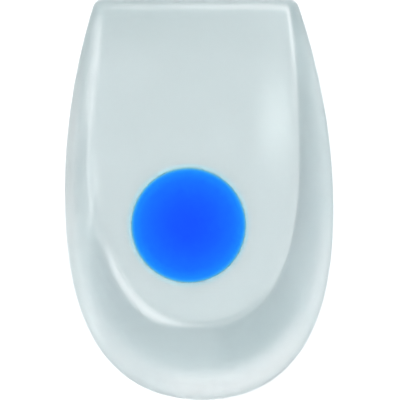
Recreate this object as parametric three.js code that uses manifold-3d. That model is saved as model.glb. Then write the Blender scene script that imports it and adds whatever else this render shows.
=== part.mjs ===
// Heel lift cushion: a translucent silicone heel cup, thin at its straight front edge and thick under
// the heel, with a softer blue spot set flush in its floor.
// Millimetres, +Z up. +Y points to the straight front edge and +X to the right, seen from above.
// The origin is under the middle of the cushion, on the surface that it lies on.
import * as THREE from 'three';
import { mergeVertices } from 'three/addons/utils/BufferGeometryUtils.js';
import Module from 'manifold-3d';

// Driving dimensions
const LENGTH = 98; // straight front edge to the back of the heel
const WIDTH = 65.8; // across the widest place
const FRONT_WIDTH = 49.4; // along the straight front edge
const SWING = 1.5; // how far the heel end lies to the right of the front end
const FRONT_THICKNESS = 3; // floor at the front
const HEEL_THICKNESS = 7.5; // floor at the back, where it meets the rim
const RIM_RISE = 8; // rim above the floor at the back of the heel; elsewhere in step with its width
const SPOT_DIAMETER = 28;
const SPOT_DEPTH = 4; // at its middle
const SPOT_EDGE = 1.2; // upright wall at its edge
const SPOT_X = -2.5;
const SPOT_Y = -6.5;
const GAP = 0.3; // between the soft spot and its pocket

// Plan curves seen from above: a straight front, two bowed sides and a round heel.
// front and back are places along Y, widest is the Y of the full width, half and frontHalf are half
// widths, corner is the length of a rounded front corner, shift moves the curve along X.
const OUTLINE = {
  front: LENGTH / 2,
  frontHalf: FRONT_WIDTH / 2,
  widest: -0.7,
  half: WIDTH / 2,
  back: -LENGTH / 2,
  corner: 1.7,
  shift: 0,
};
const FLOOR_EDGE = {
  front: 47,
  frontHalf: 22.8,
  widest: 12,
  half: 25.2,
  back: -31.6,
  corner: 1.2,
  shift: -0.35,
};
const HEEL_FULLNESS = 0.66; // handle length of the heel's quarter curves, 0.55 for a true ellipse

// Y where the front's bevel begins to turn up into the rim, and where the rim has its full form
const RIM_LEFT = { start: 8, grown: -36 };
const RIM_RIGHT = { start: 49, grown: 22 };

// Section from the floor edge (share 0) to the outline (share 1), as the points of two curves that meet
// at the crest. The front column gives heights as shares of the floor's thickness, and the heel column
// as shares of the rim's rise above the floor.
const RIM_SECTION = {
  foot: { share: 0, front: 1, heel: 0 },
  wall: { share: 0.3, front: 0.935, heel: 0.5 },
  crestIn: { share: 0.7, front: 0.77, heel: 1 },
  crest: { share: 0.88, front: 0.63, heel: 1 },
  browIn: { share: 0.97, front: 0.56, heel: 1 },
  browUp: { share: 1, front: 0.46, heel: 0.92 },
  edge: { share: 1, front: 0.34, heel: 0.6 },
};
const CURL = { width: 3, rise: 0.6 }; // the floor's margin, turned up to the foot of the rim
const BELLY_ROUND = 0.55; // fullness of the rounded lower edge
const BASE_SHARE = 0.72; // edge of the flat underside, as a share of the way to the outline

// Facets along each stretch of a curve
const STEPS = {
  front: 5,
  corner: 3,
  side: 16,
  heel: 20,
  curl: 3,
  wall: 8,
  brow: 6,
  belly: 4,
  lens: 7,
  round: 56,
};
const MERGE_WITHIN = 1e-4;

const { lerp, smoothstep } = THREE.MathUtils;
const wasm = await Module();
wasm.setup();

// Curves through points given as [x, y]
const v2 = ([x, y]) => new THREE.Vector2(x, y);
const line = (...points) => new THREE.LineCurve(...points.map(v2));
const bow = (...points) => new THREE.QuadraticBezierCurve(...points.map(v2));
const sweep = (...points) => new THREE.CubicBezierCurve(...points.map(v2));

// Points at equal steps along a curve, without its end.
function sample(curve, steps) {
  return Array.from({ length: steps }, (_, i) => curve.getPoint(i / steps));
}

// One closed plan curve, clockwise from the middle of the front edge.
function planRing({ front, frontHalf, widest, half, back, corner, shift }) {
  const frontEnd = frontHalf - corner;
  const shoulder = front - corner;
  const shoulderHalf = half - (half - frontHalf) * ((shoulder - widest) / (front - widest)) ** 2;
  const heelStart = widest - HEEL_FULLNESS * (widest - back);
  const rightHalf = [
    ...sample(line([0, front], [frontEnd, front]), STEPS.front),
    ...sample(bow([frontEnd, front], [frontHalf, front], [shoulderHalf, shoulder]), STEPS.corner),
    ...sample(bow([shoulderHalf, shoulder], [half, (shoulder + widest) / 2], [half, widest]), STEPS.side),
    ...sample(
      sweep([half, widest], [half, heelStart], [HEEL_FULLNESS * half, back], [0, back]),
      STEPS.heel,
    ),
  ];
  const leftHalf = rightHalf.slice(1).map(({ x, y }) => v2([-x, y]));
  const ring = [...rightHalf, v2([0, back]), ...leftHalf.reverse()];
  return ring.map(({ x, y }) => v2([x + shift - (SWING * y) / LENGTH, y]));
}

const outline = planRing(OUTLINE);
const floorEdge = planRing(FLOOR_EDGE);

// The floor is one plane that rises evenly toward the heel.
const FLOOR_SLOPE = (HEEL_THICKNESS - FRONT_THICKNESS) / (FLOOR_EDGE.front - FLOOR_EDGE.back);
const floorHeight = (y) => FRONT_THICKNESS + FLOOR_SLOPE * (FLOOR_EDGE.front - y);

// Along one line from the floor to the underside: the curled margin, the rim's wall, its brow and the
// rounded lower edge.
const RIM_SLOPE = RIM_RISE / (FLOOR_EDGE.back - OUTLINE.back);
const spotPlace = v2([SPOT_X, SPOT_Y]);

function sectionPoints(inner, outer) {
  const side = outer.x > 0 ? RIM_RIGHT : RIM_LEFT;
  const grown = 1 - smoothstep(outer.y, side.grown, side.start);
  const floor = floorHeight(inner.y);
  const rise = RIM_SLOPE * inner.distanceTo(outer);
  const at = Object.fromEntries(
    Object.entries(RIM_SECTION).map(([name, { share, front, heel }]) => [
      name,
      [share, lerp(front * floor, floor + heel * rise, grown)],
    ]),
  );
  at.foot[1] += CURL.rise * grown;
  const edge = at.edge[1];
  const base = [BASE_SHARE, 0];
  const bellyUp = [1, edge * (1 - BELLY_ROUND)];
  const bellyOut = [lerp(1, BASE_SHARE, BELLY_ROUND), 0];
  const rim = [
    ...sample(sweep(at.foot, at.wall, at.crestIn, at.crest), STEPS.wall),
    ...sample(sweep(at.crest, at.browIn, at.browUp, at.edge), STEPS.brow),
    ...sample(sweep(at.edge, bellyUp, bellyOut, base), STEPS.belly),
    v2(base),
  ];
  const inward = spotPlace.clone().sub(inner).setLength(CURL.width);
  const margin = Array.from({ length: STEPS.curl }, (_, k) => {
    const risen = k / STEPS.curl;
    const place = inner.clone().addScaledVector(inward, 1 - risen);
    return [place.x, place.y, floorHeight(place.y) + CURL.rise * grown * risen ** 2];
  });
  return [
    ...margin,
    ...rim.map(({ x: share, y: height }) => {
      const place = inner.clone().lerp(outer, share);
      return [place.x, place.y, height];
    }),
  ];
}

// The cup before its pocket is cut: rings from the floor over the rim to the underside, closed by one
// fan on the floor and one on the underside.
function cupGeometry() {
  const count = outline.length;
  const sections = outline.map((edge, i) => sectionPoints(floorEdge[i], edge));
  const rings = sections[0].length;
  const positions = [SPOT_X, SPOT_Y, floorHeight(SPOT_Y), 0, 0, 0];
  for (let r = 0; r < rings; r += 1) {
    sections.forEach((points) => positions.push(...points[r]));
  }
  const [floorCentre, baseCentre, firstRing] = [0, 1, 2];
  const at = (r, i) => firstRing + r * count + (i % count);
  const index = [];
  for (let i = 0; i < count; i += 1) {
    index.push(floorCentre, at(0, i + 1), at(0, i));
    for (let r = 0; r + 1 < rings; r += 1) {
      index.push(at(r, i), at(r, i + 1), at(r + 1, i));
      index.push(at(r, i + 1), at(r + 1, i + 1), at(r + 1, i));
    }
    index.push(baseCentre, at(rings - 1, i), at(rings - 1, i + 1));
  }
  const geometry = new THREE.BufferGeometry();
  geometry.setAttribute('position', new THREE.Float32BufferAttribute(positions, 3));
  geometry.setIndex(index);
  return geometry;
}

// A round plug with an upright edge and a lens-shaped underside. Its axis is Z, and its top is at the
// height given.
function plugGeometry(radius, depth, top) {
  const lens = new THREE.EllipseCurve(0, -SPOT_EDGE, radius, depth - SPOT_EDGE, -Math.PI / 2, 0);
  const profile = [
    ...sample(lens, STEPS.lens),
    v2([radius, -SPOT_EDGE]),
    v2([radius, top]),
    v2([0, top]),
  ];
  return new THREE.LatheGeometry(profile, STEPS.round).rotateX(Math.PI / 2);
}

function solid(geometry) {
  const bare = geometry.clone().deleteAttribute('normal').deleteAttribute('uv');
  const merged = mergeVertices(bare, MERGE_WITHIN);
  return new wasm.Manifold(
    new wasm.Mesh({
      numProp: 3,
      vertProperties: merged.attributes.position.array,
      triVerts: new Uint32Array(merged.index.array),
    }),
  );
}

function cut(geometry, tool) {
  const { vertProperties, triVerts } = solid(geometry).subtract(solid(tool)).getMesh();
  const result = new THREE.BufferGeometry();
  result.setAttribute('position', new THREE.Float32BufferAttribute(vertProperties, 3));
  result.setIndex([...triVerts]);
  return result;
}

// Materials
const clearSilicone = new THREE.MeshStandardMaterial({
  color: '#cddbdc',
  roughness: 0.3,
  metalness: 0,
  transparent: true,
  opacity: 0.7,
});
const blueSilicone = new THREE.MeshStandardMaterial({ color: '#1c66f5', roughness: 0.35, metalness: 0 });

// The soft spot's seat: on the floor, its axis square to the floor's slope.
const seat = new THREE.Group();
seat.position.set(SPOT_X, SPOT_Y, floorHeight(SPOT_Y));
seat.rotation.x = -Math.atan(FLOOR_SLOPE);
seat.updateMatrixWorld();

// The pocket is the plug with the gap all round, carried up past the floor.
const pocket = plugGeometry(SPOT_DIAMETER / 2 + GAP, SPOT_DEPTH + GAP, GAP);
pocket.applyMatrix4(seat.matrixWorld);
const heelCup = new THREE.Mesh(cut(cupGeometry(), pocket), clearSilicone);
heelCup.name = 'heel_cup';

const softSpot = new THREE.Mesh(plugGeometry(SPOT_DIAMETER / 2, SPOT_DEPTH, 0), blueSilicone);
softSpot.name = 'soft_spot';
seat.add(softSpot);

const cushion = new THREE.Group();
cushion.add(heelCup, seat);

export default cushion;
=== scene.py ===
import math

import bpy
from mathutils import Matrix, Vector


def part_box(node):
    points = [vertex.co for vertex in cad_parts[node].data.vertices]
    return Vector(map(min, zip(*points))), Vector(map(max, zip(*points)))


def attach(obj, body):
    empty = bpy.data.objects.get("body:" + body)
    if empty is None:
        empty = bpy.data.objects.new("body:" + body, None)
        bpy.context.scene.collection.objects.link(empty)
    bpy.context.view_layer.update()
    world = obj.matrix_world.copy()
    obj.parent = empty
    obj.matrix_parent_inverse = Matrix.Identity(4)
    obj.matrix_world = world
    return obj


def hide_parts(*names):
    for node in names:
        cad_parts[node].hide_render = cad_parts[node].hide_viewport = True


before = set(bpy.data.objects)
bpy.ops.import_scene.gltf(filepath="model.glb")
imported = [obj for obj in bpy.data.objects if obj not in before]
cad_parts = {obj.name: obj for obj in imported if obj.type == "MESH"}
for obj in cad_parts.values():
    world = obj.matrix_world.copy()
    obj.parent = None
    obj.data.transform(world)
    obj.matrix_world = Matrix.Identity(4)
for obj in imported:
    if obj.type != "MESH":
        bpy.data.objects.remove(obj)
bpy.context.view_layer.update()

# Heel cup: the body of the cushion, one casting of clear, slightly cloudy silicone from a polished mould.
# A flat underside, a floor that thickens toward the heel, bevelled front sides, and a rim that grows out
# of the bevel and rolls round the heel. A shallow pocket in the floor takes the soft spot.
MM = 0.001
cup_low, cup_high = (Vector(corner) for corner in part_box("heel_cup"))
spot_low, spot_high = (Vector(corner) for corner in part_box("soft_spot"))
LENGTH = cup_high.y - cup_low.y
WIDTH = cup_high.x - cup_low.x
FRONT_WIDTH = 49.4 * MM
SWING = 1.5 * MM  # how far the heel end lies to the right of the front end
HEEL_FULLNESS = 0.66  # handle length of the heel's quarter curves, 0.55 for a true ellipse
OUTLINE = {
    "front": 0.5 * LENGTH,
    "front_half": 0.5 * FRONT_WIDTH,
    "widest": -0.7 * MM,
    "half": 0.5 * WIDTH,
    "back": -0.5 * LENGTH,
    "corner": 1.7 * MM,
    "shift": 0.0,
}
FLOOR_EDGE = {
    "front": 47.0 * MM,
    "front_half": 22.8 * MM,
    "widest": 12.0 * MM,
    "half": 25.2 * MM,
    "back": -31.6 * MM,
    "corner": 1.2 * MM,
    "shift": -0.35 * MM,
}
CURVE_STEPS = 40  # points along each of a plan curve's seven stretches
FLOOR_PLANE = {
    "Floor front": FLOOR_EDGE["front"],
    "Floor back": FLOOR_EDGE["back"],
    "Front thickness": 3.0 * MM,
    "Heel thickness": 7.5 * MM,
}
RIM_RISE = 8.0 * MM  # above the floor at the back of the heel; elsewhere in step with the rim's width
# Y where the front's bevel begins to turn up into the rim, and where the rim has its full form
RIM_LEFT = {"start": 8.0 * MM, "grown": -36.0 * MM}
RIM_RIGHT = {"start": 49.0 * MM, "grown": 22.0 * MM}
# Section from the floor edge (share 0) to the outline (share 1). The front column gives heights as shares
# of the floor's thickness, and the heel column as shares of the rim's rise above the floor.
RIM_SECTION = {
    "foot": {"share": 0.0, "front": 1.0, "heel": 0.0},
    "wall": {"share": 0.3, "front": 0.935, "heel": 0.5},
    "crest in": {"share": 0.7, "front": 0.77, "heel": 1.0},
    "crest": {"share": 0.88, "front": 0.63, "heel": 1.0},
    "brow in": {"share": 0.97, "front": 0.56, "heel": 1.0},
    "brow up": {"share": 1.0, "front": 0.46, "heel": 0.92},
    "edge": {"share": 1.0, "front": 0.34, "heel": 0.6},
}
CURL = {"width": 3.0 * MM, "rise": 0.6 * MM}  # the floor's margin, turned up to the foot of the wall
BELLY_ROUND = 0.55  # fullness of the rounded lower edge
BASE_SHARE = 0.72  # edge of the flat underside, as a share of the way to the outline
QUARTER = 0.5523  # handle length of a quarter circle
THIRD = 1 / 3  # handle length of a straight stretch, and what a bow's handles leave of the way to its tip
SPOT_RADIUS = 0.5 * (spot_high.x - spot_low.x)
SPOT_PLACE = (0.5 * (spot_high.x + spot_low.x), -6.5 * MM, 0.0)
SPOT_DEPTH = 4.0 * MM
SPOT_EDGE = 1.2 * MM  # upright wall at its edge
POCKET_GAP = 0.04 * MM  # the two silicones are cast together, so the joint is a hair line
WELD = 0.002 * MM
SHARP_ANGLE = math.radians(9)


def plan_knots(front, front_half, widest, half, back, corner, shift):
    """A plan curve's knots, clockwise from the right front corner, as (handle in, knot, handle out)."""
    shoulder = front - corner
    shoulder_half = half - (half - front_half) * ((shoulder - widest) / (front - widest)) ** 2
    front_end = Vector((front_half - corner, front))
    corner_tip = Vector((front_half, front))
    side_top = Vector((shoulder_half, shoulder))
    side_bow = Vector((half, 0.5 * (shoulder + widest)))
    side = Vector((half, widest))
    heel_bow = Vector((half, widest - HEEL_FULLNESS * (widest - back)))
    heel_flat = Vector((HEEL_FULLNESS * half, back))
    mirror = Vector((-1, 1))
    right = [
        (front_end.lerp(front_end * mirror, THIRD), front_end, corner_tip.lerp(front_end, THIRD)),
        (corner_tip.lerp(side_top, THIRD), side_top, side_bow.lerp(side_top, THIRD)),
        (side_bow.lerp(side, THIRD), side, heel_bow),
    ]
    left = [tuple(point * mirror for point in reversed(knot)) for knot in reversed(right)]
    knots = [*right, (heel_flat, Vector((0, back)), heel_flat * mirror), *left]
    return [[Vector((x + shift - SWING * y / LENGTH, y, 0)) for x, y in knot] for knot in knots]


plan = bpy.data.curves.new("plan", "CURVE")
plan.dimensions = "3D"
for sizes in (OUTLINE, FLOOR_EDGE):
    knots = plan_knots(**sizes)
    spline = plan.splines.new("BEZIER")
    spline.use_cyclic_u = True
    spline.resolution_u = CURVE_STEPS
    spline.bezier_points.add(len(knots) - 1)
    for point, (handle_in, knot, handle_out) in zip(spline.bezier_points, knots):
        point.handle_left_type = point.handle_right_type = "FREE"
        point.handle_left, point.co, point.handle_right = handle_in, knot, handle_out


def add_node(tree, kind, inputs=(), **settings):
    """Add a node with its settings, feed its inputs by name or in order, and give its first output."""
    made = tree.nodes.new(kind)
    for name, value in settings.items():
        setattr(made, name, value)
    sockets = [socket for socket in made.inputs if socket.enabled]
    if isinstance(inputs, dict):
        named = [next(s for s in sockets if key in (s.identifier, s.name)) for key in inputs]
        fed = zip(named, inputs.values())
    else:
        fed = zip(sockets, inputs)
    for socket, value in fed:
        if isinstance(value, bpy.types.NodeSocket):
            tree.links.new(value, socket)
        else:
            socket.default_value = value
    return next((socket for socket in made.outputs if socket.enabled), None)


def new_tree(name, inputs, output):
    """An empty Geometry Nodes tree with named inputs and one output, and its inputs' sockets."""
    tree = bpy.data.node_groups.new(name, "GeometryNodeTree")
    for label, kind in inputs.items():
        tree.interface.new_socket(label, in_out="INPUT", socket_type="NodeSocket" + kind)
    tree.interface.new_socket("Result", in_out="OUTPUT", socket_type="NodeSocket" + output)
    return tree, tree.nodes.new("NodeGroupInput").outputs


def made_mesh(tree, source, values):
    """The plain mesh that a tree makes from an object, with the tree's inputs set by name."""
    modifier = source.modifiers.new(tree.name, "NODES")
    modifier.node_group = tree
    for item in tree.interface.items_tree:
        if item.in_out == "INPUT" and item.name in values:
            modifier[item.identifier] = values[item.name]
    source.update_tag()
    graph = bpy.context.evaluated_depsgraph_get()
    mesh = bpy.data.meshes.new_from_object(source.evaluated_get(graph))
    mesh.materials.pop(index=0)  # the grids bring an empty slot
    source.modifiers.remove(modifier)
    return mesh


# A strip of mesh between two rings: at every place round the cushion one Bezier curve runs from the first
# ring to the second. Its four points are worked out at each place from the place's number.
BEZIER = ("Start", "Leave", "Arrive", "End")
strip, given = new_tree(
    "strip", {"Rows": "Int", "Places": "Int", **dict.fromkeys(BEZIER, "Vector")}, "Geometry"
)
columns = add_node(strip, "ShaderNodeMath", [given["Places"], 1], operation="ADD")
grid = add_node(strip, "GeometryNodeMeshGrid", {"Vertices X": given["Rows"], "Vertices Y": columns})
number = add_node(strip, "GeometryNodeInputIndex")
rows_before = add_node(strip, "ShaderNodeMath", [number, columns], operation="DIVIDE")
row = add_node(strip, "ShaderNodeMath", [rows_before], operation="FLOOR")
last_row = add_node(strip, "ShaderNodeMath", [given["Rows"], 1], operation="SUBTRACT")
along = add_node(strip, "ShaderNodeMath", [row, last_row], operation="DIVIDE")
column = add_node(strip, "ShaderNodeMath", [number, columns], operation="MODULO")
place = add_node(strip, "ShaderNodeMath", [column, given["Places"]], operation="MODULO")
for name, kind, value in (("place", "INT", place), ("along", "FLOAT", along)):
    grid = add_node(
        strip,
        "GeometryNodeStoreNamedAttribute",
        {"Geometry": grid, "Name": name, "Value": value},
        data_type=kind,
    )
way = add_node(strip, "GeometryNodeInputNamedAttribute", {"Name": "along"}, data_type="FLOAT")
points = [given[name] for name in BEZIER]
while len(points) > 1:
    points = [
        add_node(strip, "ShaderNodeMix", [way, a, b], data_type="VECTOR") for a, b in zip(points, points[1:])
    ]
placed = add_node(strip, "GeometryNodeSetPosition", {"Geometry": grid, "Position": points[0]})
add_node(strip, "NodeGroupOutput", {"Result": placed})

# A point of the rim at one place: a share of the way from the floor edge to the outline, at a height.
rim_point, given = new_tree(
    "rim point",
    {"Floor edge": "Vector", "Outline": "Vector", "Share": "Float", "Height": "Float"},
    "Vector",
)
flat = add_node(
    rim_point,
    "ShaderNodeMix",
    [given["Share"], given["Floor edge"], given["Outline"]],
    data_type="VECTOR",
    clamp_factor=False,
)
axes = add_node(rim_point, "ShaderNodeSeparateXYZ", [flat]).node.outputs
raised = add_node(rim_point, "ShaderNodeCombineXYZ", [axes["X"], axes["Y"], given["Height"]])
add_node(rim_point, "NodeGroupOutput", {"Result": raised})

# The lens-shaped underside of the soft spot, and of its pocket: an upright wall down from the mouth, then
# a quarter ellipse to the middle.
LENS_ROWS = {"wall": 3, "bowl": 20}
lens, given = new_tree(
    "lens",
    {
        "Places": "Int",
        "Mouth": "Vector",
        "Middle": "Vector",
        "Normal": "Vector",
        "Wall": "Float",
        "Depth": "Float",
    },
    "Geometry",
)
bulge = add_node(lens, "ShaderNodeMix", [QUARTER, given["Wall"], given["Depth"]])
sunk = {}
for name, start, depth in (
    ("foot", "Mouth", given["Wall"]),
    ("leave", "Mouth", bulge),
    ("below mouth", "Mouth", given["Depth"]),
    ("bottom", "Middle", given["Depth"]),
):
    down = add_node(lens, "ShaderNodeVectorMath", [given["Normal"], depth], operation="SCALE")
    sunk[name] = add_node(lens, "ShaderNodeVectorMath", [given[start], down], operation="SUBTRACT")
arrive = add_node(lens, "ShaderNodeMix", [QUARTER, sunk["bottom"], sunk["below mouth"]], data_type="VECTOR")
joined = add_node(lens, "GeometryNodeJoinGeometry")
for rows, points in (
    (LENS_ROWS["wall"], (given["Mouth"], given["Mouth"], sunk["foot"], sunk["foot"])),
    (LENS_ROWS["bowl"], (sunk["foot"], sunk["leave"], arrive, sunk["bottom"])),
):
    inputs = {"Rows": rows, "Places": given["Places"], **dict(zip(BEZIER, points))}
    made = add_node(lens, "GeometryNodeGroup", inputs, node_tree=strip)
    lens.links.new(made, joined.node.inputs["Geometry"])
add_node(lens, "NodeGroupOutput", {"Result": joined})

# A flat point put at the floor's height: the floor is a plane that rises evenly from front to back.
on_floor, given = new_tree("on floor", {"Flat": "Vector", **dict.fromkeys(FLOOR_PLANE, "Float")}, "Vector")
axes = add_node(on_floor, "ShaderNodeSeparateXYZ", [given["Flat"]]).node.outputs
floor_height = add_node(
    on_floor,
    "ShaderNodeMapRange",
    {
        "Value": axes["Y"],
        "From Min": given["Floor front"],
        "From Max": given["Floor back"],
        "To Min": given["Front thickness"],
        "To Max": given["Heel thickness"],
    },
    clamp=False,
)
raised = add_node(on_floor, "ShaderNodeCombineXYZ", [axes["X"], axes["Y"], floor_height])
add_node(on_floor, "NodeGroupOutput", {"Result": raised})

# The cup: strips from the middle of the underside, over the rim, to the bottom of the pocket. First come
# the points of the section at each place.
cup, given = new_tree(
    "heel cup",
    {
        "Plan": "Geometry",
        **dict.fromkeys(FLOOR_PLANE, "Float"),
        "Floor normal": "Vector",
        "Left start": "Float",
        "Left grown": "Float",
        "Right start": "Float",
        "Right grown": "Float",
        "Rim slope": "Float",
        "Spot place": "Vector",
        "Pocket radius": "Float",
        "Pocket wall": "Float",
        "Pocket depth": "Float",
        "Material": "Material",
    },
    "Geometry",
)
floor_plane = {name: given[name] for name in FLOOR_PLANE}
plan_points = add_node(cup, "GeometryNodeCurveToPoints", {"Curve": given["Plan"]}, mode="EVALUATED")
plan_count = add_node(cup, "GeometryNodeAttributeDomainSize", [plan_points], component="POINTCLOUD")
places = add_node(cup, "ShaderNodeMath", [plan_count, 2], operation="DIVIDE")
place = add_node(cup, "GeometryNodeInputNamedAttribute", {"Name": "place"}, data_type="INT")
inner_place = add_node(cup, "ShaderNodeMath", [place, places], operation="ADD")
position = add_node(cup, "GeometryNodeInputPosition")
outline, floor_edge = (
    add_node(
        cup,
        "GeometryNodeSampleIndex",
        {"Geometry": plan_points, "Value": position, "Index": index},
        data_type="FLOAT_VECTOR",
    )
    for index in (place, inner_place)
)
outline_at = add_node(cup, "ShaderNodeSeparateXYZ", [outline]).node.outputs
on_right = add_node(cup, "ShaderNodeMath", [outline_at["X"], 0.0], operation="GREATER_THAN")
rim_start, rim_grown = (
    add_node(cup, "ShaderNodeMix", [on_right, given["Left " + name], given["Right " + name]])
    for name in ("start", "grown")
)
grown = add_node(
    cup,
    "ShaderNodeMapRange",
    {"Value": outline_at["Y"], "From Min": rim_start, "From Max": rim_grown},
    interpolation_type="SMOOTHSTEP",
)
margin = add_node(cup, "GeometryNodeGroup", {"Flat": floor_edge, **floor_plane}, node_tree=on_floor)
floor = add_node(cup, "ShaderNodeSeparateXYZ", [margin]).node.outputs["Z"]
rim_width = add_node(cup, "ShaderNodeVectorMath", [floor_edge, outline], operation="DISTANCE")
full_rise = add_node(cup, "ShaderNodeMath", [rim_width, given["Rim slope"]], operation="MULTIPLY")
heights = {}
for name, point in RIM_SECTION.items():
    front = add_node(cup, "ShaderNodeMath", [floor, point["front"]], operation="MULTIPLY")
    heel = add_node(cup, "ShaderNodeMath", [full_rise, point["heel"], floor], operation="MULTIPLY_ADD")
    heights[name] = add_node(cup, "ShaderNodeMix", [grown, front, heel])
heights["foot"] = add_node(
    cup, "ShaderNodeMath", [grown, CURL["rise"], heights["foot"]], operation="MULTIPLY_ADD"
)
heights["belly up"] = add_node(
    cup, "ShaderNodeMath", [heights["edge"], 1 - BELLY_ROUND], operation="MULTIPLY"
)
shares = {name: point["share"] for name, point in RIM_SECTION.items()}
shares.update({"belly up": 1, "belly out": 1 + (BASE_SHARE - 1) * BELLY_ROUND, "base": BASE_SHARE})
at = {"under": add_node(cup, "ShaderNodeCombineXYZ")}
for name, share in shares.items():
    at[name] = add_node(
        cup,
        "GeometryNodeGroup",
        {"Floor edge": floor_edge, "Outline": outline, "Share": share, "Height": heights.get(name, 0)},
        node_tree=rim_point,
    )
outward = add_node(cup, "ShaderNodeVectorMath", [floor_edge, given["Spot place"]], operation="SUBTRACT")
heading = add_node(cup, "ShaderNodeVectorMath", [outward], operation="NORMALIZE")
flat_points = {"middle": given["Spot place"]}
for name, start, reach in (
    ("mouth", given["Spot place"], given["Pocket radius"]),
    ("curl middle", floor_edge, [-0.5 * CURL["width"]] * 3),
    ("curl end", floor_edge, [-CURL["width"]] * 3),
):
    flat_points[name] = add_node(
        cup, "ShaderNodeVectorMath", [heading, reach, start], operation="MULTIPLY_ADD"
    )
for name, flat in flat_points.items():
    at[name] = add_node(cup, "GeometryNodeGroup", {"Flat": flat, **floor_plane}, node_tree=on_floor)

# Painted shade and painted light on the casting, kept with the mesh for its material. A tone is a product of
# courses. A course names its measure (X or Y of the outline or of the floor's edge, in millimetres, or the
# share of the way along the strip), then rows of a place and the strength there, with a smooth step from row
# to row.
LEFT = ("outline X", (17, 1.0), (25, 0.0))
RIGHT = ("outline X", (17, 0.0), (25, 1.0))
TONES = {
    # Painted shade on the rim's wall: all along the right, and deeper toward the heel on the left
    "right fold": [("outline X", (17, 0.0), (25, 0.8))],
    "right heel fold": [("outline X", (1, 0.0), (10, 1.0)), ("outline Y", (-26, 0.0), (-38, 0.7))],
    "left heel fold": [LEFT, ("outline Y", (6, 0.0), (-46, 1.0))],
    "left flank fold": [LEFT, ("outline Y", (16, 0.0), (4, 0.5), (-8, 0.5), (-20, 0.0))],
    "left at foot": [("outline Y", (-34, 0.15), (-47, 0.9)), ("along", (1.0, 1.0), (0.7, 0.0))],
    "left above foot": [("along", (1.0, 0.0), (0.7, 1.0))],
    "below crest": [("along", (0.1, 0.0), (0.6, 1.0))],
    # Painted shade on the front corner on the right, and painted shade that dims the crest on the right and
    # at the heel
    "corner": [RIGHT, ("outline Y", (16, 0.0), (36, 0.3), (46, 0.8))],
    "right dim": [RIGHT, ("outline Y", (27, 0.0), (20, 0.9), (0, 0.9), (-16, 0.3))],
    "heel dim": [("outline Y", (-30, 0.0), (-44, 0.8))],
    "at crest": [("along", (0.35, 0.0), (0.05, 1.0))],
    # Painted light, pale toward the outline, where light leaks out
    "left glow": [LEFT, ("outline Y", (46, 0.0), (14, 0.68)), ("outline Y", (-8, 1.0), (-20, 0.44))],
    "right glow": [RIGHT, ("outline Y", (-2, 0.0), (-22, 0.35))],
    "heel glow": [("outline X", (-13, 0.5), (-3, 1.0)), ("outline Y", (-26, 0.0), (-44, 1.0))],
    "front glow": [("outline Y", (47, 0.0), (48.5, 0.32))],
    "up the wall": [("along", (0.5, 0.0), (0.15, 0.42))],
    "up the brow": [("along", (0.2, 0.1), (1.0, 0.4))],
}
MIXED_TONES = (  # a tone, how it is put together, and from which
    ("left fold depth", "MAXIMUM", "left heel fold", "left flank fold"),
    ("left fold course", "ADD", "left at foot", "left above foot"),
    ("left fold", "MULTIPLY", "left fold depth", "left fold course"),
    ("whole fold", "ADD", "left fold", "right fold", "right heel fold"),
    ("fold below crest", "MULTIPLY", "whole fold", "below crest"),
    ("dim", "MAXIMUM", "right dim", "heel dim"),
    ("dim at crest", "MULTIPLY", "dim", "at crest"),
    ("wall fold", "ADD", "corner", "fold below crest", "dim at crest"),
    ("brow fold", "ADD", "corner", "dim"),
    ("side glow", "ADD", "left glow", "right glow"),
    ("whole glow", "MAXIMUM", "side glow", "heel glow"),
    ("wall glow", "MULTIPLY", "whole glow", "up the wall"),
    ("back glow", "MULTIPLY", "whole glow", "up the brow"),
    ("brow glow", "MAXIMUM", "back glow", "front glow"),
)
measures = {
    "along": add_node(cup, "GeometryNodeInputNamedAttribute", {"Name": "along"}, data_type="FLOAT")
}
for name, ring in (("outline", outline), ("edge", floor_edge)):
    in_mm = add_node(cup, "ShaderNodeVectorMath", [ring, 1 / MM], operation="SCALE")
    axes = add_node(cup, "ShaderNodeSeparateXYZ", [in_mm]).node.outputs
    measures[name + " X"], measures[name + " Y"] = axes["X"], axes["Y"]


def tone_of(courses):
    """A tone in the cup's tree: the product of its courses."""
    product = 1.0
    for measure, *rows in courses:
        course = rows[0][1]
        for (start, low), (end, high) in zip(rows, rows[1:]):
            step = add_node(
                cup,
                "ShaderNodeMapRange",
                {"Value": measures[measure], "From Min": start, "From Max": end, "To Max": high - low},
                interpolation_type="SMOOTHSTEP",
            )
            course = add_node(cup, "ShaderNodeMath", [course, step], operation="ADD")
        product = add_node(cup, "ShaderNodeMath", [product, course], operation="MULTIPLY")
    return product


tones = {name: tone_of(courses) for name, courses in TONES.items()}
for name, rule, first, *others in MIXED_TONES:
    tones[name] = tones[first]
    for other in others:
        tones[name] = add_node(cup, "ShaderNodeMath", [tones[name], tones[other]], operation=rule)
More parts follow.
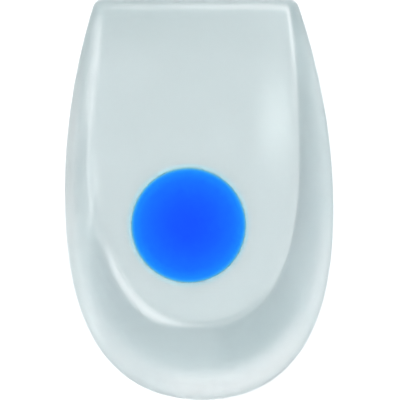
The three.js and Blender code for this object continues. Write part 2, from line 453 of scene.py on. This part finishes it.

# Painted highlights, each a pale line along the floor's edge, where the skin bends: how strong each is, how
# far out from the edge it lies and half its width, both in millimetres. A course of one row is the same all
# the way.
EDGE_LEFT = ("edge X", (-18, 0.0), (-22, 1.0))
PAINTED_LINES = {
    "left": {
        "strength": [
            EDGE_LEFT,
            ("edge Y", (-12, 0.0), (4, 0.25), (6, 0.25), (18, 0.32)),
            ("edge Y", (47, 0.0), (41, 1.0)),
        ],
        "offset": [("edge Y", (40, 0.0), (22, 1.5), (20, 1.5), (10, 2.9))],
        "half width": [("edge Y", (8, 1.3), (32, 3.2))],
    },
    "left toward heel": {
        "strength": [EDGE_LEFT, ("edge Y", (-22, 0.0), (-8, 0.4)), ("edge Y", (6, 0.0), (-10, 1.0))],
        "offset": [("edge Y", (0, 2.6), (-14, 0.4))],
        "half width": [("edge Y", (0, 2.2))],
    },
    "heel": {
        "strength": [
            ("edge X", (3, 0.04), (-12, 0.85)),
            ("edge Y", (14, 0.0), (4, 0.25), (-6, 0.25), (-18, 1.0)),
        ],
        "offset": [("edge X", (-12, 0.0), (-2, -0.6))],
        "half width": [("edge X", (-12, 2.1), (-2, 1.3))],
    },
    "front": {
        "strength": [
            ("edge X", (-25, 0.08), (-15, 0.26), (20, 0.44)),
            ("edge Y", (46, 0.0), (47, 1.0)),
        ],
        "offset": [("edge Y", (47, 0.3))],
        "half width": [("edge Y", (47, 1.4))],
    },
    "right": {
        "strength": [RIGHT, ("edge Y", (18, 0.22), (28, 0.52), (42, 0.52), (46, 0.62))],
        "offset": [("edge Y", (30, -0.4), (42, 0.0))],
        "half width": [("edge Y", (30, 1.7), (42, 1.2))],
    },
}
painted_lines = [{part: tone_of(courses) for part, courses in line.items()} for line in PAINTED_LINES.values()]
flat_place = add_node(cup, "ShaderNodeVectorMath", [position, (1, 1, 0)], operation="MULTIPLY")
off_edge = add_node(cup, "ShaderNodeVectorMath", [flat_place, floor_edge], operation="DISTANCE")
for name, side in (("wall line", 1), ("curl line", -1)):
    outside = add_node(cup, "ShaderNodeMath", [off_edge, side / MM], operation="MULTIPLY")
    tones[name] = 0.0
    for line in painted_lines:
        beside = add_node(cup, "ShaderNodeMath", [outside, line["offset"]], operation="SUBTRACT")
        away = add_node(cup, "ShaderNodeMath", [beside], operation="ABSOLUTE")
        fading = add_node(
            cup,
            "ShaderNodeMapRange",
            {"Value": away, "From Min": line["half width"], "From Max": 0.0},
            interpolation_type="SMOOTHSTEP",
        )
        shown = add_node(cup, "ShaderNodeMath", [line["strength"], fading], operation="MULTIPLY")
        tones[name] = add_node(cup, "ShaderNodeMath", [tones[name], shown], operation="MAXIMUM")

SECTION = (  # rows of mesh in a strip, the four points of its curve, and the painted shade and light that it keeps
    (8, ("under", "under", "base", "base"), {}),
    (12, ("base", "belly out", "belly up", "edge"), {"painted_shade": "corner"}),
    (24, ("edge", "brow up", "brow in", "crest"), {"painted_glow": "brow glow", "painted_shade": "brow fold"}),
    (
        32,
        ("crest", "crest in", "wall", "foot"),
        {"painted_glow": "wall glow", "painted_shade": "wall fold", "line": "wall line"},
    ),
    (10, ("foot", "curl middle", "curl middle", "curl end"), {"line": "curl line"}),
    (24, ("curl end", "curl end", "mouth", "mouth"), {}),
)
joined = add_node(cup, "GeometryNodeJoinGeometry")
for rows, points, kept in SECTION:
    inputs = {"Rows": rows, "Places": places, **{end: at[name] for end, name in zip(BEZIER, points)}}
    made = add_node(cup, "GeometryNodeGroup", inputs, node_tree=strip)
    for name, tone in kept.items():
        made = add_node(
            cup,
            "GeometryNodeStoreNamedAttribute",
            {"Geometry": made, "Name": name, "Value": tones[tone]},
            data_type="FLOAT",
        )
    cup.links.new(made, joined.node.inputs["Geometry"])
pocket = add_node(
    cup,
    "GeometryNodeGroup",
    {
        "Places": places,
        "Mouth": at["mouth"],
        "Middle": at["middle"],
        "Normal": given["Floor normal"],
        "Wall": given["Pocket wall"],
        "Depth": given["Pocket depth"],
    },
    node_tree=lens,
)
cup.links.new(pocket, joined.node.inputs["Geometry"])
welded = add_node(cup, "GeometryNodeMergeByDistance", {"Geometry": joined, "Distance": WELD})
smooth = add_node(cup, "GeometryNodeSetShadeSmooth", {"Geometry": welded})
bend = add_node(cup, "GeometryNodeInputMeshEdgeAngle")
sharp = add_node(cup, "FunctionNodeCompare", {"A": bend, "B": SHARP_ANGLE}, operation="GREATER_THAN")
creased = add_node(
    cup,
    "GeometryNodeSetShadeSmooth",
    {"Geometry": smooth, "Selection": sharp, "Shade Smooth": False},
    domain="EDGE",
)
solid = add_node(cup, "GeometryNodeRealizeInstances", {"Geometry": creased})
finished = add_node(cup, "GeometryNodeSetMaterial", {"Geometry": solid, "Material": given["Material"]})
add_node(cup, "NodeGroupOutput", {"Result": finished})


def linear(colour):
    """Linear RGBA of an sRGB hex colour."""
    parts = [int(colour[i : i + 2], 16) / 255 for i in (1, 3, 5)]
    return [p / 12.92 if p <= 0.04045 else ((p + 0.055) / 1.055) ** 2.4 for p in parts] + [1.0]


def reach_from(tree, where, middle, reach):
    """How far a place lies from a middle, seen from above, in shares of a reach along X and Y."""
    centred = add_node(
        tree,
        "ShaderNodeMapping",
        {"Vector": where, "Location": middle, "Scale": reach},
        vector_type="TEXTURE",
    )
    flat = add_node(tree, "ShaderNodeVectorMath", [centred, (1, 1, 0)], operation="MULTIPLY")
    return add_node(tree, "ShaderNodeVectorMath", [flat], operation="LENGTH")


# Clear silicone rubber: a soft translucent casting with a cool grey cast. Light goes in, scatters in the
# fine haze and comes out again, so walls look milky, and the polished mould leaves a satin gloss.
# Its colour also carries painted shade, painted light and painted highlights from the cup's mesh.
HAZE_SIZE = 14.0 * MM  # width of the faint clouds in the casting
THIN, THICK = 3.0 * MM, 15.0 * MM  # the haze adds up with depth, so a thick place looks whiter; by height it is partly painted light and shade, whiter high on the rim and greyer on the thin floor
THIN_COLOURS = ("#BCC7C8", "#C4CECF")  # between the clouds and in them
THICK_COLOURS = ("#CCD6D7", "#D3DCDD")
FRONT_SHADE_COLOUR = "#B5C1C2"  # painted shade: the thin front of the floor is greyer, most on the left
FRONT_BEGINS, FRONT_FULL = 3.8 * MM, 3.1 * MM  # heights of the floor
FRONT_SIDE = 20.0 * MM  # from the middle to either side
FRONT_RIGHT, FRONT_LEFT = 0.25, 1.15  # strength at the two sides
FLOOR_HIGHLIGHT_COLOUR = "#E4ECEC"  # a painted highlight, soft and pale, on the right of the floor
FLOOR_HIGHLIGHT_MIDDLE, FLOOR_HIGHLIGHT_REACH = (19.5 * MM, 18.5 * MM, 0.0), (8.0 * MM, 19.0 * MM, 1.0)
FLOOR_HIGHLIGHT_STRENGTH = 0.42
SPOT_REACH = (SPOT_RADIUS, SPOT_RADIUS, 1.0)
RING_GLOW_COLOUR = "#B4EEFF"  # painted light: a pale ring of light that leaks out of the soft spot
RING_BEGINS, RING_FULL = 1.1, 1.01  # shares of the spot's radius
PAINTED_SHADE_SHARE = (0.87, 0.89, 0.895, 1.0)  # painted shade: share of the light, in linear RGB, that the painted shade leaves
NO_SHADE = (1.0, 1.0, 1.0, 1.0)
# painted light on the rim toward the outline
PAINTED_GLOW_COLOUR = "#F5F2F1"
# painted highlight along the floor's edge
EDGE_HIGHLIGHT_COLOUR = "#F8FCFC"
SKIN_SIZE = 2.5 * MM  # width of the low waves that the mould leaves on the skin
WAVE_DEPTH = 0.2 * MM
POLISHED, SATIN = 0.16, 0.22  # roughness in and on the waves
DULL_BEGINS, DULL_FULL = 7.5 * MM, 10.0 * MM  # heights on the rim, whose skin is duller
DULLER = 0.25  # roughness added there, and where the shade is painted
SILICONE_IOR = 1.41
clear_silicone = bpy.data.materials.new("clear_silicone")
clear_silicone.use_nodes = True
tree = clear_silicone.node_tree
tree.nodes.clear()
where = add_node(tree, "ShaderNodeTexCoord").node.outputs["Object"]
axes = add_node(tree, "ShaderNodeSeparateXYZ", [where]).node.outputs
haze = add_node(tree, "ShaderNodeTexNoise", {"Vector": where, "Scale": 1 / HAZE_SIZE, "Detail": 3.0})
thin, thick = (
    add_node(tree, "ShaderNodeMix", [haze, linear(between), linear(cloud)], data_type="RGBA")
    for between, cloud in (THIN_COLOURS, THICK_COLOURS)
)
depth = add_node(tree, "ShaderNodeMapRange", {"Value": axes["Z"], "From Min": THIN, "From Max": THICK})
casting = add_node(tree, "ShaderNodeMix", [depth, thin, thick], data_type="RGBA")
at_front = add_node(
    tree, "ShaderNodeMapRange", {"Value": axes["Z"], "From Min": FRONT_BEGINS, "From Max": FRONT_FULL}
)
at_side = add_node(
    tree,
    "ShaderNodeMapRange",
    {
        "Value": axes["X"],
        "From Min": FRONT_SIDE,
        "From Max": -FRONT_SIDE,
        "To Min": FRONT_RIGHT,
        "To Max": FRONT_LEFT,
    },
)
greyer = add_node(tree, "ShaderNodeMath", [at_front, at_side], operation="MULTIPLY")
fronted = add_node(tree, "ShaderNodeMix", [greyer, casting, linear(FRONT_SHADE_COLOUR)], data_type="RGBA")
floor_highlight = add_node(
    tree,
    "ShaderNodeMapRange",
    {
        "Value": reach_from(tree, where, FLOOR_HIGHLIGHT_MIDDLE, FLOOR_HIGHLIGHT_REACH),
        "From Min": 1.0,
        "From Max": 0.0,
        "To Max": FLOOR_HIGHLIGHT_STRENGTH,
    },
    interpolation_type="SMOOTHSTEP",
)
patched = add_node(tree, "ShaderNodeMix", [floor_highlight, fronted, linear(FLOOR_HIGHLIGHT_COLOUR)], data_type="RGBA")
painted_ring_glow = add_node(
    tree,
    "ShaderNodeMapRange",
    {
        "Value": reach_from(tree, where, SPOT_PLACE, SPOT_REACH),
        "From Min": RING_BEGINS,
        "From Max": RING_FULL,
    },
    interpolation_type="SMOOTHSTEP",
)
ringed = add_node(tree, "ShaderNodeMix", [painted_ring_glow, patched, linear(RING_GLOW_COLOUR)], data_type="RGBA")
# Painted shade, painted light and painted highlights kept with the cup's mesh
painted_shade, painted_glow, line = (
    add_node(tree, "ShaderNodeAttribute", attribute_name=name).node.outputs["Fac"]
    for name in ("painted_shade", "painted_glow", "line")
)
shade = add_node(
    tree, "ShaderNodeMix", [painted_shade, NO_SHADE, PAINTED_SHADE_SHARE], data_type="RGBA", clamp_factor=False
)
shade_painted = add_node(tree, "ShaderNodeMix", [1.0, ringed, shade], data_type="RGBA", blend_type="MULTIPLY")
with_painted_glow = add_node(tree, "ShaderNodeMix", [painted_glow, shade_painted, linear(PAINTED_GLOW_COLOUR)], data_type="RGBA")
tint = add_node(tree, "ShaderNodeMix", [line, with_painted_glow, linear(EDGE_HIGHLIGHT_COLOUR)], data_type="RGBA")
skin = add_node(tree, "ShaderNodeTexNoise", {"Vector": where, "Scale": 1 / SKIN_SIZE, "Detail": 2.0})
polish = add_node(tree, "ShaderNodeMapRange", {"Value": skin, "To Min": POLISHED, "To Max": SATIN})
on_rim = add_node(
    tree,
    "ShaderNodeMapRange",
    {"Value": axes["Z"], "From Min": DULL_BEGINS, "From Max": DULL_FULL, "To Max": DULLER},
)
dull = add_node(tree, "ShaderNodeMath", [painted_shade, DULLER, on_rim], operation="MULTIPLY_ADD")
gloss = add_node(tree, "ShaderNodeMath", [polish, dull], operation="ADD")
waves = add_node(tree, "ShaderNodeBump", {"Strength": 0.04, "Distance": WAVE_DEPTH, "Height": skin})
rubber = add_node(
    tree,
    "ShaderNodeBsdfPrincipled",
    {
        "Base Color": tint,
        "Roughness": gloss,
        "Normal": waves,
        "IOR": SILICONE_IOR,
        "Subsurface Weight": 1.0,
        "Subsurface Radius": (1.0, 1.0, 1.0),
        "Subsurface Scale": 6.0 * MM,
        "Transmission Weight": 0.55,
    },
)
add_node(tree, "ShaderNodeOutputMaterial", {"Surface": rubber})

floor_rise = FLOOR_PLANE["Heel thickness"] - FLOOR_PLANE["Front thickness"]
floor_slope = floor_rise / (FLOOR_EDGE["front"] - FLOOR_EDGE["back"])
floor_normal = Vector((0, floor_slope, 1)).normalized()
plan_object = bpy.data.objects.new("plan", plan)
bpy.context.scene.collection.objects.link(plan_object)
cup_mesh = made_mesh(
    cup,
    plan_object,
    {
        **FLOOR_PLANE,
        "Floor normal": floor_normal,
        "Left start": RIM_LEFT["start"],
        "Left grown": RIM_LEFT["grown"],
        "Right start": RIM_RIGHT["start"],
        "Right grown": RIM_RIGHT["grown"],
        "Rim slope": RIM_RISE / (FLOOR_EDGE["back"] - OUTLINE["back"]),
        "Spot place": SPOT_PLACE,
        "Pocket radius": SPOT_RADIUS + POCKET_GAP,
        "Pocket wall": SPOT_EDGE,
        "Pocket depth": SPOT_DEPTH + POCKET_GAP,
        "Material": clear_silicone,
    },
)
bpy.data.objects.remove(plan_object)
silicone_cup = bpy.data.objects.new("silicone_cup", cup_mesh)
bpy.context.scene.collection.objects.link(silicone_cup)
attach(silicone_cup, "root")
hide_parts("heel_cup")

# Soft spot: the round plug of softer, blue-dyed silicone under the heel bone. It is poured into its pocket
# flush with the floor and bonds there, and its underside is a shallow lens, so its edge is thin and paler.
SPOT_PLACES = 160
SPOT_ROUND = 0.15 * MM  # its top edge
FACE_ROWS, LIP_ROWS = 12, 5
spot, given = new_tree(
    "soft spot",
    {
        **dict.fromkeys(FLOOR_PLANE, "Float"),
        "Floor normal": "Vector",
        "Spot place": "Vector",
        "Radius": "Float",
        "Wall": "Float",
        "Depth": "Float",
        "Edge round": "Float",
        "Places": "Int",
        "Material": "Material",
    },
    "Geometry",
)
floor_plane = {name: given[name] for name in FLOOR_PLANE}
place = add_node(spot, "GeometryNodeInputNamedAttribute", {"Name": "place"}, data_type="INT")
turn = add_node(spot, "ShaderNodeMath", [place, given["Places"]], operation="DIVIDE")
angle = add_node(spot, "ShaderNodeMath", [turn, math.tau], operation="MULTIPLY")
cosine = add_node(spot, "ShaderNodeMath", [angle], operation="COSINE")
sine = add_node(spot, "ShaderNodeMath", [angle], operation="SINE")
heading = add_node(spot, "ShaderNodeCombineXYZ", [cosine, sine])
flat_radius, wall, depth = (
    add_node(spot, "ShaderNodeMath", [given[name], given["Edge round"]], operation="SUBTRACT")
    for name in ("Radius", "Wall", "Depth")
)
flat_points = {"middle": given["Spot place"]}
for name, radius in (("rim", given["Radius"]), ("face edge", flat_radius)):
    flat_points[name] = add_node(
        spot, "ShaderNodeVectorMath", [heading, radius, given["Spot place"]], operation="MULTIPLY_ADD"
    )
at = {}
for name, flat in flat_points.items():
    at[name] = add_node(spot, "GeometryNodeGroup", {"Flat": flat, **floor_plane}, node_tree=on_floor)
sink = add_node(
    spot, "ShaderNodeVectorMath", [given["Floor normal"], given["Edge round"]], operation="SCALE"
)
for name, start in (("mouth", "rim"), ("low middle", "middle")):
    at[name] = add_node(spot, "ShaderNodeVectorMath", [at[start], sink], operation="SUBTRACT")
joined = add_node(spot, "GeometryNodeJoinGeometry")
for rows, points in (
    (FACE_ROWS, ("middle", "middle", "face edge", "face edge")),
    (LIP_ROWS, ("face edge", "rim", "rim", "mouth")),
):
    ends = {end: at[name] for end, name in zip(BEZIER, points)}
    inputs = {"Rows": rows, "Places": given["Places"], **ends}
    made = add_node(spot, "GeometryNodeGroup", inputs, node_tree=strip)
    spot.links.new(made, joined.node.inputs["Geometry"])
underside = add_node(
    spot,
    "GeometryNodeGroup",
    {
        "Places": given["Places"],
        "Mouth": at["mouth"],
        "Middle": at["low middle"],
        "Normal": given["Floor normal"],
        "Wall": wall,
        "Depth": depth,
    },
    node_tree=lens,
)
spot.links.new(underside, joined.node.inputs["Geometry"])
welded = add_node(spot, "GeometryNodeMergeByDistance", {"Geometry": joined, "Distance": WELD})
smooth = add_node(spot, "GeometryNodeSetShadeSmooth", {"Geometry": welded})
solid = add_node(spot, "GeometryNodeRealizeInstances", {"Geometry": smooth})
finished = add_node(spot, "GeometryNodeSetMaterial", {"Geometry": solid, "Material": given["Material"]})
add_node(spot, "NodeGroupOutput", {"Result": finished})

# Blue silicone: the same rubber, softer and dyed through. The dye is deepest in the middle of the lens,
# where it is thick, and lets more of the white below through at the thin edge.
CLOUD_SIZE = 3.0 * MM  # width of the faint clouds in the dye
WEAK, STRONG = 0.93, 1.07  # the dye between the clouds and in them
DYE = (  # share of the spot's radius, and the dye's colour there
    (0.1, "#063ED2"),
    (0.25, "#063FD2"),
    (0.52, "#0747CF"),
    (0.8, "#0854CC"),
    (0.93, "#0B65C8"),
    (0.965, "#1870BA"),
    (1.0, "#488EA8"),
)
blue_silicone = bpy.data.materials.new("blue_silicone")
blue_silicone.use_nodes = True
tree = blue_silicone.node_tree
tree.nodes.clear()
where = add_node(tree, "ShaderNodeTexCoord").node.outputs["Object"]
dye = add_node(tree, "ShaderNodeValToRGB", [reach_from(tree, where, SPOT_PLACE, SPOT_REACH)])
stops = dye.node.color_ramp.elements
stops.remove(stops[1])
stops[0].position = DYE[0][0]
for share, _ in DYE[1:]:
    stops.new(share)
for stop, (_, colour) in zip(stops, DYE):
    stop.color = linear(colour)
cloud = add_node(tree, "ShaderNodeTexNoise", {"Vector": where, "Scale": 1 / CLOUD_SIZE, "Detail": 2.0})
strength = add_node(tree, "ShaderNodeMapRange", {"Value": cloud, "To Min": WEAK, "To Max": STRONG})
dyed = add_node(tree, "ShaderNodeMix", [1.0, dye, strength], data_type="RGBA", blend_type="MULTIPLY")
gel = add_node(
    tree,
    "ShaderNodeBsdfPrincipled",
    {
        "Base Color": dyed,
        "Roughness": 0.35,
        "IOR": SILICONE_IOR,
        "Specular IOR Level": 0.03,
        "Subsurface Weight": 0.3,
        "Subsurface Radius": (0.3, 0.6, 1.0),
        "Subsurface Scale": 1.5 * MM,
    },
)
add_node(tree, "ShaderNodeOutputMaterial", {"Surface": gel})

holder = bpy.data.objects.new("holder", bpy.data.meshes.new("holder"))
bpy.context.scene.collection.objects.link(holder)
spot_mesh = made_mesh(
    spot,
    holder,
    {
        **FLOOR_PLANE,
        "Floor normal": floor_normal,
        "Spot place": SPOT_PLACE,
        "Radius": SPOT_RADIUS,
        "Wall": SPOT_EDGE,
        "Depth": SPOT_DEPTH,
        "Edge round": SPOT_ROUND,
        "Places": SPOT_PLACES,
        "Material": blue_silicone,
    },
)
bpy.data.objects.remove(holder)
blue_spot = bpy.data.objects.new("blue_spot", spot_mesh)
bpy.context.scene.collection.objects.link(blue_spot)
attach(blue_spot, "root")
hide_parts("soft_spot")

# Studio: a plain white table, a wide soft box overhead, smaller ones at the left, the right and the front,
# and a long lens that looks straight down.
TABLE_SIZE = 3.0
TABLE_DROP = 0.05 * MM  # below the cushion, so that no two faces share a plane
TABLE_WHITE = (0.92, 0.92, 0.92, 1.0)  # share of the light, in linear RGB, that the table sends back
BACKDROP_COLOUR = (0.93, 0.97, 0.985, 1.0)  # cool white, in linear RGB
BACKDROP_STRENGTH = 0.94
table = bpy.data.objects.new("table", bpy.data.meshes.new("table"))
far = 0.5 * TABLE_SIZE
corners = [(x, y, -TABLE_DROP) for x, y in ((-far, -far), (far, -far), (far, far), (-far, far))]
table.data.from_pydata(corners, [], [(0, 1, 2, 3)])
bpy.context.scene.collection.objects.link(table)
white_table = bpy.data.materials.new("white_table")
white_table.use_nodes = True
tree = white_table.node_tree
tree.nodes.clear()
paint = add_node(
    tree,
    "ShaderNodeBsdfPrincipled",
    {"Base Color": TABLE_WHITE, "Roughness": 0.7, "Specular IOR Level": 0.2},
)
add_node(tree, "ShaderNodeOutputMaterial", {"Surface": paint})
table.data.materials.append(white_table)

world = bpy.data.worlds.new("studio")
bpy.context.scene.world = world
world.use_nodes = True
backdrop = world.node_tree.nodes["Background"].inputs
backdrop["Color"].default_value = BACKDROP_COLOUR
backdrop["Strength"].default_value = BACKDROP_STRENGTH

SOFT_BOXES = (  # name, place in metres, size across and up in metres, power in watts
    ("overhead", (0.0, 0.0, 0.9), (0.8, 0.8), 6.6),
    ("left", (-0.4, 0.1, 0.58), (0.4, 0.4), 1.4),
    ("right", (0.2, 0.32, 0.6), (0.25, 0.25), 0.9),
    ("front", (0.0, 0.55, 0.46), (0.5, 0.3), 0.4),
)
for name, place, size, power in SOFT_BOXES:
    light = bpy.data.lights.new(name, "AREA")
    light.shape = "RECTANGLE"
    light.size, light.size_y = size
    light.energy = power
    lamp = bpy.data.objects.new(name, light)
    bpy.context.scene.collection.objects.link(lamp)
    lamp.location = place
    lamp.rotation_euler = (-Vector(place)).to_track_quat("-Z", "Y").to_euler()

FRAME_SHARE = 399.5 / 400  # of the picture's height that the cushion's length fills
FRAME_MIDDLE = (0.3 * MM, -0.3 * MM)  # what lies in the middle of the picture
OUTLINE_HEIGHT = 4.0 * MM  # mean height of the outline above the table
camera = bpy.data.cameras.new("camera")
camera.lens = 600.0
camera.sensor_width = 36.0
camera.clip_end = 10.0
distance = LENGTH / FRAME_SHARE * camera.lens / camera.sensor_width
eye = bpy.data.objects.new("camera", camera)
bpy.context.scene.collection.objects.link(eye)
eye.location = (*FRAME_MIDDLE, distance + OUTLINE_HEIGHT)
bpy.context.scene.camera = eye
bpy.context.scene.view_settings.view_transform = "Standard"
bpy.context.scene.cycles.use_denoising = True
# A clear body's own passes are too noisy to guide the denoiser
bpy.context.scene.cycles.denoising_input_passes = "RGB"
